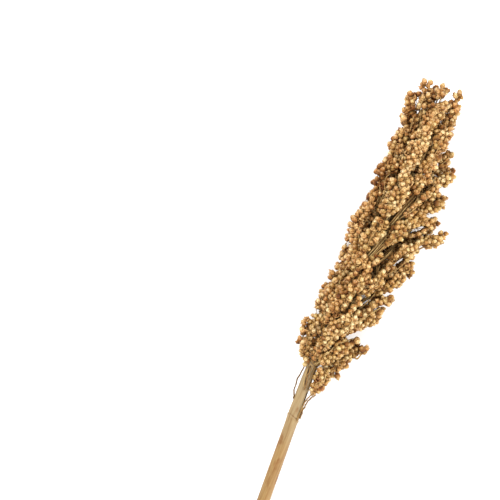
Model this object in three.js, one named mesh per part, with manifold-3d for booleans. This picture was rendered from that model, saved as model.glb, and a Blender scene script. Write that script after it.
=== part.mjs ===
// A dried sorghum seed head on its cut stalk, lying on a table.
//
// Millimetres. The model is drawn along the plant's own axis first: X runs up the stalk from the
// node ring, Y to the left and Z away from the table. The whole plant is then tipped by a few
// degrees, so that it rests on the cut end and on the underside of the head.
//
// The stalk, with its node ring and the central stem inside the head, grew as one piece. Each
// grain-bearing side branch can be snapped off, so each is a piece of its own: a thin foot that
// leaves the central stem, then a lumpy body that holds all the grains of that branch.

import * as THREE from "three";
import { mergeVertices } from "three/addons/utils/BufferGeometryUtils.js";
import Module from "manifold-3d";

// ---- driving dimensions -------------------------------------------------------------------

const BARE_STALK = 272; // from the cut end to the node ring
const STALK_END = 306; // from the node ring to the end of the central stem, inside the head
const CUT_RADIUS = 6.2; // stalk radius at the cut
const NODE_RADIUS = 5.45; // stalk radius on both sides of the node ring
const RING_RISE = 0.4; // how far the node ring stands proud
const RING_HALF = 1.6; // half the node ring's length along the stalk
const NECK = 50; // where the first branches leave the stalk
const NECK_RADIUS = 4.9;
const CENTRAL_END_RADIUS = 1.1;

const FOOT_RADIUS = 1.25; // the bare foot of a branch
const GAP = 0.5; // clearance kept between neighbours
const SMOOTHING = 0.15; // slivers smaller than this are dropped from a cut
const REST_DEPTH = 25.5; // how far the table lies under the axis, where the head rests
const REST_AT = 150; // ... and how far up from the node ring that is
const STRAND_RADIUS = 0.75; // a dried branchlet with no grains left

const BRANCH_SIDES = 7;
const STALK_SIDES = 14;
const STRAND_SIDES = 6;

const SLOPE = Math.atan((REST_DEPTH - CUT_RADIUS) / (REST_AT + BARE_STALK));

// ---- the plant's layout -------------------------------------------------------------------

// The stalk is straight up to the neck. Inside the head its end leans to the right.
const STALK_AXIS = new THREE.CatmullRomCurve3(
  [
    [-BARE_STALK, -14, 0],
    [-120, -6.3, 0],
    [0, 0, 0],
    [NECK, 2, 0],
    [110, -2, 0],
    [170, -8, 0],
    [235, -13, 0],
    [STALK_END, -11, 0],
  ].map((p) => new THREE.Vector3(...p)),
);

// The branches, from the neck to the tip. root is where the foot leaves the central stem, and
// body holds three points along the grains, each [along, left, up, radius].
const BRANCHES = [
  // first tier: the lowest branch hangs back along the stalk
  { root: 51, body: [[47, -10, 4, 7.5], [39, -12, 2, 8], [31, -9.5, 1, 5.5]] },
  { root: 53, body: [[53, -14, 4, 7.5], [65, -22, 5, 8.5], [79, -35, 4, 5.5]] },
  { root: 52, body: [[60, -6, 14, 8], [72, -12, 13, 8.5], [85, -23, 9, 5.5]] },
  { root: 54, body: [[62, 4, 13, 6], [73, 0, 16, 7.5], [87, -3, 17, 7.5]] },
  { root: 53, body: [[57, 13, 3, 5.5], [69, 17, 4, 6], [84, 20, 4, 5.5]] },
  { root: 54, body: [[60, -11, -11, 8], [72, -14, -13, 9], [87, -15, -15, 8]] },
  { root: 56, body: [[64, 3, -13, 7], [76, 2, -16, 8], [91, 3, -17, 7.5]] },
  // second tier
  { root: 72, body: [[91, 14, 2, 8], [104, 14.5, 4, 9], [119, 12, 5, 7.5]] },
  { root: 68, body: [[95, 3, 14, 8], [107, 4, 17, 8], [121, 6, 17, 6.5]] },
  { root: 70, body: [[91, -9, 14, 8.5], [104, -9, 18, 9], [119, -8, 20, 8]] },
  { root: 66, body: [[86, -17, 4, 8], [98, -22, 4, 9], [110, -32, 3, 7.5]] },
  { root: 80, body: [[109, -22, 10, 6.5], [121, -30, 9, 7.5], [132, -38, 6, 5.5]] },
  { root: 74, body: [[95, -18, -11, 8], [109, -25, -12, 9.5], [124, -32, -10, 7]] },
  { root: 75, body: [[100, -2, -16, 8.5], [113, -3, -18, 10], [128, -3, -19, 8]] },
  { root: 76, body: [[96, 12, -10, 8], [110, 13, -11, 9], [125, 13, -12, 8]] },
  // third tier
  { root: 104, body: [[128, 10, 5, 8], [142, 9, 7, 8.5], [157, 8, 9, 8]] },
  { root: 102, body: [[127, -2, 18, 8.5], [142, -2, 20, 9], [158, -1, 20, 8]] },
  { root: 106, body: [[135, -14, 15, 8.5], [148, -16, 18, 8.5], [160, -15, 18, 6.5]] },
  { root: 110, body: [[139, -27, 6, 9], [151, -34, 6, 10.5], [164, -43, 4, 8]] },
  { root: 126, body: [[158, -25, 10, 8], [172, -31, 9, 10], [181, -40, 6, 6.5]] },
  { root: 112, body: [[136, -31, -10, 8.5], [149, -34, -12, 10], [162, -37, -11, 8]] },
  { root: 110, body: [[136, -15, -17, 10], [150, -17, -18, 10.5], [166, -18, -20, 8.5]] },
  { root: 112, body: [[139, 2, -17, 10], [153, 2, -19, 10], [168, 1, -19, 8.5]] },
  { root: 116, body: [[140, 12, -6, 7.5], [154, 12, -8, 8.5], [170, 12, -9, 7.5]] },
  // fourth tier
  { root: 146, body: [[171, 10, 6, 8.5], [185, 11.5, 7, 9], [201, 9, 8, 8.5]] },
  { root: 142, body: [[168, 0, 17, 7.5], [180, -2, 19, 8.5], [192, -4, 19, 7.5]] },
  { root: 152, body: [[183, -18, 16, 8], [192, -24, 15, 8.5], [201, -31, 12, 7.5]] },
  { root: 150, body: [[186, -48, 3, 6], [195, -56, 2, 7.5], [204, -59.5, 1, 5]] },
  { root: 160, body: [[197, -33, 2, 6.5], [203, -40, 2, 7.5], [209, -49, 1, 5.5]] },
  { root: 148, body: [[173, -28, -12, 9], [187, -32, -14, 10], [203, -33, -14, 8.5]] },
  { root: 150, body: [[176, -12, -19, 10], [191, -14, -20, 10.5], [207, -16, -21, 8.5]] },
  { root: 150, body: [[178, 3, -16, 9], [194, 3, -18, 10], [210, 1, -18, 8.5]] },
  { root: 156, body: [[180, 13, -6, 7.5], [196, 11, -8, 8], [212, 9, -9, 7.5]] },
  // fifth tier
  { root: 184, body: [[212, 6, 6, 8], [228, 7.5, 7, 8.5], [244, 7.5, 7, 8]] },
  { root: 178, body: [[204, -5, 18, 8.5], [219, -6, 20, 10], [236, -9, 20, 9]] },
  { root: 186, body: [[212, -21, 14, 8], [227, -24, 14, 9], [243, -25, 13, 8]] },
  { root: 180, body: [[210, -33, 6, 8], [219, -39, 4, 8.5], [229, -48, 2, 6.5]] },
  { root: 204, body: [[233, -36, 3, 8], [245, -41, 3, 8], [255, -46, 2, 6]] },
  { root: 188, body: [[215, -30, -12, 9], [229, -33, -12, 9], [245, -30, -12, 8]] },
  { root: 190, body: [[216, -14, -19, 10], [231, -15, -20, 10.5], [247, -14, -20, 8.5]] },
  { root: 192, body: [[219, 0, -15, 9], [235, 0, -16, 10], [251, 0, -15, 8.5]] },
  // sixth tier
  { root: 226, body: [[252, 6, 4, 7.5], [264, 6.5, 5, 8], [276, 8, 6, 6]] },
  { root: 222, body: [[250, -7, 17, 8], [264, -7, 18, 9], [279, -9, 17, 8]] },
  { root: 228, body: [[254, -23, 12, 8], [271, -24, 12, 9], [288, -25, 10, 8.5]] },
  { root: 224, body: [[255, -35, -1, 6.5], [264, -38, 0, 6.5], [271, -41, 1, 5]] },
  { root: 230, body: [[258, -20, -13, 9], [272, -21, -14, 9], [288, -20, -12, 8]] },
  { root: 232, body: [[261, -3, -14, 9], [276, -3, -14, 9], [292, -3, -11, 8]] },
  // the tip
  { root: 256, body: [[284, 5, 3, 6.5], [296, 7, 4, 7.5], [306, 11, 5, 5]] },
  { root: 258, body: [[288, -9, 13, 8], [300, -11, 13, 8], [312, -14, 9, 6.5]] },
  { root: 258, body: [[291, -27, 1, 6.5], [302, -29, 2, 7.5], [312, -29, 2, 5.5]] },
  { root: 272, body: [[316, -22, 4, 3.5], [321, -26, 4, 5], [325, -27.5, 3, 4.5]] },
  { root: 276, body: [[302, 0, 5, 7.5], [312, 1.5, 4, 8], [320, 3, 3, 6]] },
  { root: 282, body: [[304, -11, -5, 7.5], [313, -10, -3, 7.5], [320, -11, 0, 6]] },
];

// Branchlets that lost their grains lie along the stalk under the neck, each a list of
// [along, left, up]. They ride just clear of the stalk's surface.
const STRANDS = [
  [[14, 6.6, 1], [20, 8, 1.5], [28, 9.6, 2], [36, 9.4, 3], [44, 8.6, 3], [50, 8.8, 2]],
  [[26, 0.6, 6.4], [31, 1.5, 6.9], [37, 2.9, 6.5], [42, 2.4, 6.8], [47, 3.9, 6.6]],
  [[-3, -4.6, 4.9], [8, -3.9, 5.3], [17, -4.2, 5.1], [23, -6.6, 5], [27, -9.2, 8.2]],
  [[-1, -6.2, 2.4], [9, -6.2, 2.6], [17, -6.6, 2.2], [22, -8.8, 1.6], [25, -12, -3]],
];

// ---- materials ----------------------------------------------------------------------------

const FINISH = {
  stalk: new THREE.MeshStandardMaterial({ color: 0xc29a55, roughness: 0.55, metalness: 0 }),
  grain: new THREE.MeshStandardMaterial({ color: 0xc8964f, roughness: 0.6, metalness: 0 }),
  strand: new THREE.MeshStandardMaterial({ color: 0xa98650, roughness: 0.8, metalness: 0 }),
};

// ---- solids -------------------------------------------------------------------------------

const wasm = await Module();
wasm.setup();

function solidOf(geometry) {
  const bare = new THREE.BufferGeometry();
  bare.setAttribute("position", geometry.getAttribute("position"));
  bare.setIndex(geometry.getIndex());
  const merged = mergeVertices(bare, 1e-4);
  const vertProperties = merged.attributes.position.array;
  return new wasm.Manifold(
    new wasm.Mesh({ numProp: 3, vertProperties, triVerts: new Uint32Array(merged.index.array) }),
  );
}

function geometryOf(solid) {
  const mesh = solid.getMesh();
  const positions = new THREE.Float32BufferAttribute(mesh.vertProperties, mesh.numProp);
  const geometry = new THREE.BufferGeometry().setAttribute("position", positions);
  geometry.setIndex(new THREE.BufferAttribute(new Uint32Array(mesh.triVerts), 1));
  geometry.computeVertexNormals();
  return geometry;
}

// A turned body bent along a curve. profile lists [share of the curve, radius] from one pole to
// the other, and swell(angle, share) is a factor on the radius.
function bentLathe(curve, profile, sides, swell = () => 1) {
  const outline = profile.map(([share, radius]) => new THREE.Vector2(radius, share));
  const geometry = new THREE.LatheGeometry(outline, sides);
  const position = geometry.getAttribute("position");
  const up = new THREE.Vector3(0, 0, 1);
  for (let i = 0; i < position.count; i++) {
    const share = position.getY(i);
    const angle = Math.atan2(position.getX(i), position.getZ(i));
    const radius = Math.hypot(position.getX(i), position.getZ(i)) * swell(angle, share);
    const along = curve.getTangent(share);
    const side = new THREE.Vector3().crossVectors(along, up).normalize();
    const over = new THREE.Vector3().crossVectors(side, along);
    const point = curve.getPoint(share);
    point.addScaledVector(over, radius * Math.cos(angle));
    point.addScaledVector(side, radius * Math.sin(angle));
    position.setXYZ(i, point.x, point.y, point.z);
  }
  return solidOf(geometry);
}

// ---- the stalk ----------------------------------------------------------------------------

const AXIS_STEPS = 400;

// The share of STALK_AXIS that lies at a distance along X from the node ring.
function axisShareAt(x) {
  let share = 0;
  while (share < 1 && STALK_AXIS.getPoint(share).x < x) share += 1 / AXIS_STEPS;
  return Math.min(share, 1);
}

function stalkRadiusAt(x) {
  const bare = THREE.MathUtils.mapLinear(x, -BARE_STALK, 0, CUT_RADIUS, NODE_RADIUS);
  const peduncle = THREE.MathUtils.mapLinear(x, 0, NECK, NODE_RADIUS, NECK_RADIUS);
  const central = THREE.MathUtils.mapLinear(x, NECK, STALK_END, NECK_RADIUS, CENTRAL_END_RADIUS);
  return x < 0 ? bare : x < NECK ? peduncle : central;
}

function stalkSolid(extra = 0) {
  const stations = [-190, -110, -50, -3, 3, 25, NECK, 80, 110, 140, 170, 205, 240, 275];
  const ring = [-RING_HALF, RING_HALF].map((x) => [axisShareAt(x), NODE_RADIUS + RING_RISE + extra]);
  const plain = stations.map((x) => [axisShareAt(x), stalkRadiusAt(x) + extra]);
  const profile = [...plain, ...ring].sort((a, b) => a[0] - b[0]);
  profile.unshift([0, 0], [0, CUT_RADIUS + extra]);
  profile.push([1, CENTRAL_END_RADIUS + extra], [1, 0]);
  return bentLathe(STALK_AXIS, profile, STALK_SIDES);
}

// ---- the branches -------------------------------------------------------------------------

// The foot leaves the central stem's surface on the side where the grains are.
function branchCurve({ root, body }, extra) {
  const points = body.map(([x, y, z]) => new THREE.Vector3(x, y, z));
  const centre = STALK_AXIS.getPoint(axisShareAt(root));
  const outward = points[0].clone().sub(centre).setX(0).normalize();
  const clear = stalkRadiusAt(root) + FOOT_RADIUS + GAP;
  const foot = centre.addScaledVector(outward, clear);
  const last = points[2];
  const tipLength = body[2][3] + extra;
  const tip = last.clone().addScaledVector(last.clone().sub(points[1]).normalize(), tipLength);
  return new THREE.CatmullRomCurve3([foot, ...points, tip]);
}

// The grains make each branch lumpy, differently on each.
function lumps(index) {
  return (angle, share) =>
    1 + 0.16 * Math.sin(3 * angle + 2.1 * index) * Math.sin(16 * share + index)
      + 0.12 * Math.sin(2 * angle - 19 * share + 0.7 * index);
}

function branchSolid(branch, index, extra = 0) {
  const [low, middle, high] = branch.body.map((p) => p[3] + extra);
  const foot = FOOT_RADIUS + extra;
  const profile = [
    [0, 0],
    [0, foot],
    [0.15, foot * 1.15],
    [0.2, low * 0.72],
    [0.27, low],
    [0.38, (low + middle) * 0.52],
    [0.5, middle],
    [0.62, (middle + high) * 0.52],
    [0.75, high],
    [0.9, high * 0.72],
    [1, 0],
  ];
  return bentLathe(branchCurve(branch, extra), profile, BRANCH_SIDES, lumps(index));
}

// ---- the bare strands ---------------------------------------------------------------------

function strandSolid(points, extra = 0) {
  const path = new THREE.CatmullRomCurve3(points.map((p) => new THREE.Vector3(...p)));
  const section = new THREE.Shape();
  section.absarc(0, 0, STRAND_RADIUS + extra, 0, 2 * Math.PI);
  return solidOf(
    new THREE.ExtrudeGeometry(section, {
      extrudePath: path,
      steps: 3 * points.length,
      curveSegments: STRAND_SIDES,
    }),
  );
}

// ---- fitting the pieces to each other -----------------------------------------------------

// The table's top in the plant's own axes, as the top of a block under the plant.
function tableSolid() {
  const length = 2000;
  const block = new THREE.BoxGeometry(length, length, length);
  block.translate(0, 0, -length / 2);
  block.rotateY(SLOPE);
  block.translate(REST_AT, 0, -REST_DEPTH);
  return solidOf(block);
}

function overlapBoxes(a, b) {
  return [0, 1, 2].every((k) => a.min[k] < b.max[k] && b.min[k] < a.max[k]);
}

function largestPiece(solid) {
  return solid.decompose().sort((a, b) => b.volume() - a.volume())[0];
}

// Cuts a piece back from the neighbours that are already in place, each grown by the gap.
function fitted(solid, grownNeighbours) {
  const box = solid.boundingBox();
  const near = grownNeighbours.filter((n) => overlapBoxes(box, n.boundingBox()));
  return largestPiece(near.reduce((left, n) => left.subtract(n), solid)).simplify(SMOOTHING);
}

function piece(name, solid, finish) {
  const mesh = new THREE.Mesh(geometryOf(solid), finish);
  mesh.name = name;
  return mesh;
}

function buildPlant() {
  const plant = new THREE.Group();
  const table = tableSolid();
  const placed = [stalkSolid(GAP)];
  plant.add(piece("stalk", stalkSolid(), FINISH.stalk));
  STRANDS.forEach((points, i) => {
    plant.add(piece(`bare_strand_${i + 1}`, fitted(strandSolid(points), placed), FINISH.strand));
    placed.push(strandSolid(points, GAP));
  });
  // The tip comes first, so that a lower branch makes room for the feet of those above it.
  for (let i = BRANCHES.length - 1; i >= 0; i--) {
    const number = String(i + 1).padStart(2, "0");
    const solid = fitted(branchSolid(BRANCHES[i], i).subtract(table), placed);
    plant.add(piece(`seed_branch_${number}`, solid, FINISH.grain));
    placed.push(branchSolid(BRANCHES[i], i, GAP));
  }
  return plant;
}

// Lays the plant on the table, with the origin under the middle of its outline.
function layDown(plant) {
  plant.rotation.y = -SLOPE;
  const laid = new THREE.Group().add(plant);
  const box = new THREE.Box3().setFromObject(laid, true);
  const middle = box.getCenter(new THREE.Vector3());
  plant.position.set(-middle.x, -middle.y, -box.min.z);
  return laid;
}

export default layDown(buildPlant());
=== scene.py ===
# %% [markdown]
# # A dried sorghum seed head
#
# The finished object is one cut stalk with a head of small round grains. It lies on a pale
# table, and the camera looks straight down on it.
#
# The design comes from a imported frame: one plain solid for the stalk, one lumpy solid for each
# side branch of the head, and a few thin rods for bare strands. This file keeps every one of
# those places and sizes, and grows the real surface in them: thousands of grains in their
# husks, the stems that carry them, and a fibrous stalk.

import math

import bpy
import numpy as np
from mathutils import Matrix, Vector
from mathutils.bvhtree import BVHTree
from mathutils.kdtree import KDTree


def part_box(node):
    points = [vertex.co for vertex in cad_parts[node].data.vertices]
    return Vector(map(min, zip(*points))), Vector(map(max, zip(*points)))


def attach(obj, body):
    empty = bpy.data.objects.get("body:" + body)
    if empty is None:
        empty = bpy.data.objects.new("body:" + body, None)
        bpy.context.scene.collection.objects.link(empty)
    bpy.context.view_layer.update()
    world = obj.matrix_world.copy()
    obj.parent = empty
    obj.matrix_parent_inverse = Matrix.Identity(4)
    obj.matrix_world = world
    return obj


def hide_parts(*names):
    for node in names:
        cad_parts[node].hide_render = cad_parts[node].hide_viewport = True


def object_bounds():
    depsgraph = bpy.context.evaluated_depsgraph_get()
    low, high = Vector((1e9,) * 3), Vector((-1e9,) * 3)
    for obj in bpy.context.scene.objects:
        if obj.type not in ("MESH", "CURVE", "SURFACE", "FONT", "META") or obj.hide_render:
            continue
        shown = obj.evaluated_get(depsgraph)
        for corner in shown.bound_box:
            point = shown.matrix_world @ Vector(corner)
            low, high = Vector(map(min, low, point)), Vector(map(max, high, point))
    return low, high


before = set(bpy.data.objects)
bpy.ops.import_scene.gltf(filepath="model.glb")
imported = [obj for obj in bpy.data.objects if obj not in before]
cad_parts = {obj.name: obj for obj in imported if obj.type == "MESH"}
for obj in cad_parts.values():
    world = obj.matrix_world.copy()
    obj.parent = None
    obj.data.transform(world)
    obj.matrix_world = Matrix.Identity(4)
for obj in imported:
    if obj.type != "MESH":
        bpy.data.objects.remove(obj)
cad_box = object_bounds()
BRANCH_NODES = sorted(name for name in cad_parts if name.startswith("seed_branch"))
STRAND_NODES = sorted(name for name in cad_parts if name.startswith("bare_strand"))
MM = 0.001
print(len(BRANCH_NODES), "branches and", len(STRAND_NODES), "bare strands in the frame")

# %% [markdown]
# ## Camera
#
# The camera hangs over the head and looks straight down. The stalk leans in the picture, so
# the camera is turned about its own line of sight rather than the plant about its origin: the
# plant stays where the frame has it.

# %% Camera
LENS_MM = 85
SENSOR_MM = 36
PICTURE_WIDTH = 0.448  # what the picture takes in at the height of the head, in metres
LEAN = math.radians(22.5)  # the stalk's lean in the picture
AIM_FROM_MIDDLE = (0.0958, 0.1144)  # from the middle of the plant to the middle of the picture


def make_camera():
    """A lens of length f sees a width w at the distance w * f / sensor width."""
    low, high = cad_box
    middle = (low + high) / 2
    head_low, head_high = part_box(BRANCH_NODES[len(BRANCH_NODES) // 2])
    height = (head_low.z + head_high.z) / 2
    data = bpy.data.cameras.new("camera")
    data.lens = LENS_MM
    data.sensor_width = SENSOR_MM
    camera = bpy.data.objects.new("camera", data)
    distance = PICTURE_WIDTH * LENS_MM / SENSOR_MM
    x, y = middle.x + AIM_FROM_MIDDLE[0], middle.y + AIM_FROM_MIDDLE[1]
    camera.location = (x, y, height + distance)
    # The picture's upward direction is the stalk's direction, turned to the left by the lean.
    camera.rotation_euler = (0, 0, LEAN - math.pi / 2)
    bpy.context.scene.collection.objects.link(camera)
    bpy.context.scene.camera = camera
    return camera


camera = make_camera()
print("camera", [round(v, 3) for v in camera.location])

# %% [markdown]
# ## Table and light
#
# A white table and soft light from large lamps, as in a product picture. The main lamp is up
# and to the left in the picture, so each grain has a bright crown on that side and a darker
# edge on the other. The sky light keeps the gaps between the grains from going black.

# %% Table and light
SKY_STRENGTH = 1.13
KEY_WATTS = 15.5
FILL_WATTS = 11.5
TABLE_SIZE = 30.0


def in_picture(right, up, height):
    """A place over the table from its place in the picture: right and up from the middle."""
    turned = Matrix.Rotation(camera.rotation_euler.z, 3, "Z") @ Vector((right, up, 0))
    return Vector((camera.location.x + turned.x, camera.location.y + turned.y, height))


def soft_lamp(name, place, target, size, watts):
    data = bpy.data.lights.new(name, "AREA")
    data.shape = "DISK"
    data.size = size
    data.energy = watts
    lamp = bpy.data.objects.new(name, data)
    lamp.location = place
    lamp.rotation_euler = (place - target).to_track_quat("Z", "Y").to_euler()
    bpy.context.scene.collection.objects.link(lamp)
    return lamp


def make_sky():
    world = bpy.data.worlds.new("studio")
    world.use_nodes = True
    sky = world.node_tree.nodes["Background"]
    sky.inputs["Color"].default_value = (1, 1, 1, 1)
    sky.inputs["Strength"].default_value = SKY_STRENGTH
    bpy.context.scene.world = world
    bpy.context.scene.view_settings.view_transform = "Standard"


def make_table():
    white = bpy.data.materials.new("white_table")
    white.use_nodes = True
    shader = white.node_tree.nodes["Principled BSDF"]
    shader.inputs["Base Color"].default_value = (0.88, 0.88, 0.88, 1)
    shader.inputs["Roughness"].default_value = 0.8
    half = TABLE_SIZE / 2
    mesh = bpy.data.meshes.new("table")
    corners = [(-half, -half, 0), (half, -half, 0), (half, half, 0), (-half, half, 0)]
    mesh.from_pydata(corners, [], [(0, 1, 2, 3)])
    mesh.materials.append(white)
    table = bpy.data.objects.new("table", mesh)
    bpy.context.scene.collection.objects.link(table)


make_sky()
soft_lamp("key", in_picture(-0.55, 0.55, 1.1), in_picture(0, 0, 0.03), 0.5, KEY_WATTS)
soft_lamp("fill", in_picture(0.85, -0.4, 0.5), in_picture(0, 0, 0.03), 1.0, FILL_WATTS)
make_table()
print("lamps of", KEY_WATTS, "and", FILL_WATTS, "W, and a sky of strength", SKY_STRENGTH)

# %% [markdown]
# ## Tools for surfaces
#
# Every piece is a set of grids of points. A grid is a surface whose rows run along it and whose
# columns run round it. One function turns any number of equal grids into faces, so a thousand
# grains cost no more code than one.

# %% Reading a solid
def read_solid(node):
    """A node's corners and triangles as arrays, with the doubled corners merged."""
    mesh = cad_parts[node].data
    loose = np.empty(len(mesh.vertices) * 3, np.float32)
    mesh.vertices.foreach_get("co", loose)
    mesh.calc_loop_triangles()
    faces = np.empty(len(mesh.loop_triangles) * 3, np.int32)
    mesh.loop_triangles.foreach_get("vertices", faces)
    keys = np.round(loose.reshape(-1, 3) / (0.002 * MM)).astype(np.int64)
    _, first, merged = np.unique(keys, axis=0, return_index=True, return_inverse=True)
    faces = merged.reshape(-1)[faces].reshape(-1, 3)
    whole = (faces[:, 0] != faces[:, 1]) & (faces[:, 1] != faces[:, 2]) & (faces[:, 2] != faces[:, 0])
    return loose.reshape(-1, 3)[first].astype(float), faces[whole]


def unit(vectors):
    """Vectors divided by their length."""
    return vectors / np.maximum(np.linalg.norm(vectors, axis=-1, keepdims=True), 1e-12)


# %% From grids to a mesh
class Surfaces:
    """Collects grids of points, then makes them one mesh with named values at its points."""

    def __init__(self):
        self.points, self.quads, self.materials, self.values = [], [], [], {}
        self.count = 0

    def add(self, grids, material=0, **values):
        """Adds closed tubes. grids is (pieces, rows, columns, 3). The columns close on
        themselves, and the first and last row are closed by a fan to their own middle."""
        pieces, rows, columns = grids.shape[:3]
        ends = grids[:, [0, -1]].mean(2)
        body = grids.reshape(pieces, rows * columns, 3)
        points = np.concatenate([body, ends], 1)
        row, column = np.meshgrid(np.arange(rows - 1), np.arange(columns), indexing="ij")
        here = row * columns + column
        beside = row * columns + (column + 1) % columns
        quads = np.stack([here, beside, beside + columns, here + columns], -1).reshape(-1, 4)
        start, finish = rows * columns, rows * columns + 1
        turn = np.arange(columns)
        after = (turn + 1) % columns
        last = (rows - 1) * columns
        low = np.stack([np.full(columns, start), after, turn, np.full(columns, -1)], -1)
        high = np.stack([np.full(columns, finish), last + turn, last + after, np.full(columns, -1)], -1)
        faces = np.concatenate([quads, low, high])
        size = rows * columns + 2
        shift = (np.arange(pieces) * size + self.count)[:, None, None]
        self.quads.append(np.where(faces[None] < 0, -1, faces[None] + shift).reshape(-1, 4))
        self.materials.append(np.full(pieces * len(faces), material, np.int32))
        self.points.append(points.reshape(-1, 3))
        for name in sorted(set(self.values) | set(values)):
            spread = self.spread(values.get(name, 0.0), (pieces, rows, columns))
            self.values.setdefault(name, [np.zeros(self.count)]).append(spread)
        self.count += pieces * size

    @staticmethod
    def spread(value, shape):
        """One number for all, for each tube or for each point, given to every point. The middle
        of an end gets the mean of its ring."""
        value = np.asarray(value, float)
        full = np.broadcast_to(value.reshape(value.shape + (1,) * (3 - value.ndim)), shape)
        ends = full[:, [0, -1]].mean(2)
        return np.concatenate([full.reshape(shape[0], -1), ends], 1).reshape(-1)

    def mesh(self, name, materials):
        mesh = bpy.data.meshes.new(name)
        points = np.concatenate(self.points)
        points[:, 2] = np.maximum(points[:, 2], 0.05 * MM)  # pressed flat where it rests on the table
        quads = np.concatenate(self.quads)
        sizes = np.where(quads[:, 3] < 0, 3, 4)
        corners = quads[quads >= 0]
        mesh.vertices.add(len(points))
        mesh.vertices.foreach_set("co", points.astype(np.float32).ravel())
        mesh.loops.add(len(corners))
        mesh.loops.foreach_set("vertex_index", corners.astype(np.int32))
        mesh.polygons.add(len(quads))
        starts = np.concatenate([[0], np.cumsum(sizes)[:-1]])
        mesh.polygons.foreach_set("loop_start", starts.astype(np.int32))
        for material in materials:
            mesh.materials.append(material)
        mesh.update(calc_edges=True)
        mesh.polygons.foreach_set("material_index", np.concatenate(self.materials))
        mesh.polygons.foreach_set("use_smooth", np.ones(len(quads), bool))
        for key, parts in self.values.items():
            layer = mesh.attributes.new(key, "FLOAT", "POINT")
            layer.data.foreach_set("value", np.concatenate(parts).astype(np.float32))
        mesh.update()
        return mesh


def place(mesh, slot, *nodes):
    """Puts a finished piece in the scene for the solids that it stands for."""
    piece = bpy.data.objects.new(mesh.name, mesh)
    bpy.context.scene.collection.objects.link(piece)
    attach(piece, "root")
    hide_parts(*nodes)
    return piece


# %% Tubes and paths
def circle(columns, sides, others):
    """Even angles, and the unit ring at them: cos(angle) * side + sin(angle) * other side."""
    angle = np.arange(columns) * 2 * np.pi / columns
    cos, sin = np.cos(angle)[:, None], np.sin(angle)[:, None]
    return angle, sides[..., None, :] * cos + others[..., None, :] * sin


def tubes(paths, radii, columns):
    """Round tubes along paths. paths is (tubes, rows, 3) and radii is (tubes, rows).

    At each row the tangent is the difference of the neighbouring points. A side direction is
    carried from one row to the next and made square to the tangent again, so a tube doesn't
    twist. Each ring is the path's point + radius * a circle."""
    tangents = unit(np.gradient(paths, axis=1))
    helper = np.where(np.abs(tangents[:, :1, 2:]) < 0.8, [0.0, 0.0, 1.0], [0.0, 1.0, 0.0])
    side = unit(np.cross(helper[:, 0], tangents[:, 0]))
    sides = []
    for row in range(paths.shape[1]):
        side = unit(side - (side * tangents[:, row]).sum(-1, keepdims=True) * tangents[:, row])
        sides.append(side)
    sides = np.stack(sides, 1)
    _, ring = circle(columns, sides, np.cross(tangents, sides))
    return paths[:, :, None] + radii[:, :, None, None] * ring


def resample(points, rows):
    """A smooth path through a few points. Each coordinate is a Hermite curve over the path's
    length, with the slope at a point taken from its neighbours."""
    points = np.asarray(points, float)
    step = np.linalg.norm(np.diff(points, axis=0), axis=1)
    at = np.concatenate([[0], np.cumsum(np.maximum(step, 1e-9))])
    slope = np.gradient(points, at, axis=0)
    wanted = np.linspace(0, at[-1], rows)
    k = np.clip(np.searchsorted(at, wanted, "right") - 1, 0, len(points) - 2)
    width = (at[k + 1] - at[k])[:, None]
    t = (wanted - at[k])[:, None] / width
    return (
        (2 * t**3 - 3 * t**2 + 1) * points[k]
        + (t**3 - 2 * t**2 + t) * width * slope[k]
        + (3 * t**2 - 2 * t**3) * points[k + 1]
        + (t**3 - t**2) * width * slope[k + 1]
    )


# %% [markdown]
# ## Materials
#
# Everything here is dry plant. Three finishes cover it: the smooth shell of the grain, the
# papery husk, and the fibrous stems. Their colours vary from grain to grain through a value
# stored at each point, and inside a grain through noise, so no two look cast in one mould.

# %% Tools for materials
def paint(red, green, blue):
    """A screen colour from 0 to 255 as the linear colour that the shader wants."""
    value = np.array([red, green, blue]) / 255
    linear = np.where(value <= 0.04045, value / 12.92, ((value + 0.055) / 1.055) ** 2.4)
    return (*linear, 1.0)


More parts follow.
